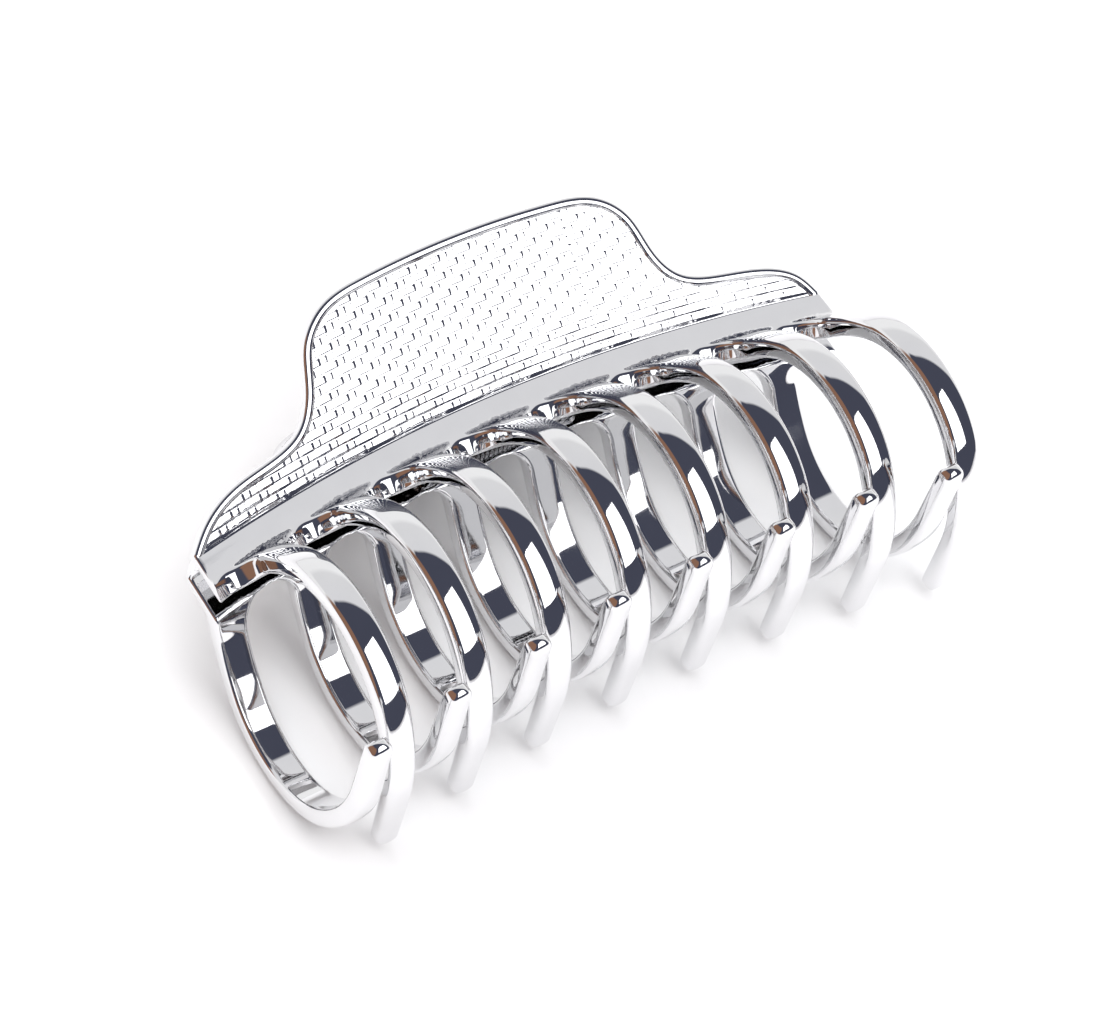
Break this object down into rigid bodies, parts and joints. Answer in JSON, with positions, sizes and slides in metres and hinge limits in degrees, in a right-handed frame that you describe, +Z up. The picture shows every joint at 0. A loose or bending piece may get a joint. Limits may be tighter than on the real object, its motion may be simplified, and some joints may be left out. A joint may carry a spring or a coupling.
{
  "type": "claw hair clip",
  "caption": "Large claw hair clip with two interleaving toothed jaws, textured finger wings, a hinge pin and a torsion spring.",
  "frame": {"origin": "on the table, under the middle of the closed clip's box", "axes": "+X along the row of teeth, +Y towards the finger wings, +Z up from the table the clip lies on"},
  "size_m": [0.1098, 0.0699, 0.0388],
  "materials": {
    "plated_jaw": "mirror-bright silver plating on moulded plastic, woven relief on the wing panels",
    "steel_pin": "drawn steel rod",
    "spring_steel": "drawn spring wire"
  },
  "bodies": {
    "back_assembly": {"back_jaw": "plated_jaw", "hinge_pin": "steel_pin", "torsion_spring": "spring_steel"},
    "front_assembly": {"front_jaw": "plated_jaw"}
  },
  "joints": [
    {"name": "jaw_hinge", "type": "hinge", "parent": "back_assembly", "child": "front_assembly", "pos_m": [0, 0.0122, 0.0189], "axis": [-1, 0, 0], "range_deg": [0, 55], "stiffness_Nm_per_rad": 0.12, "springref_deg": -45.84, "deforming": ["torsion_spring"]}
  ]
}
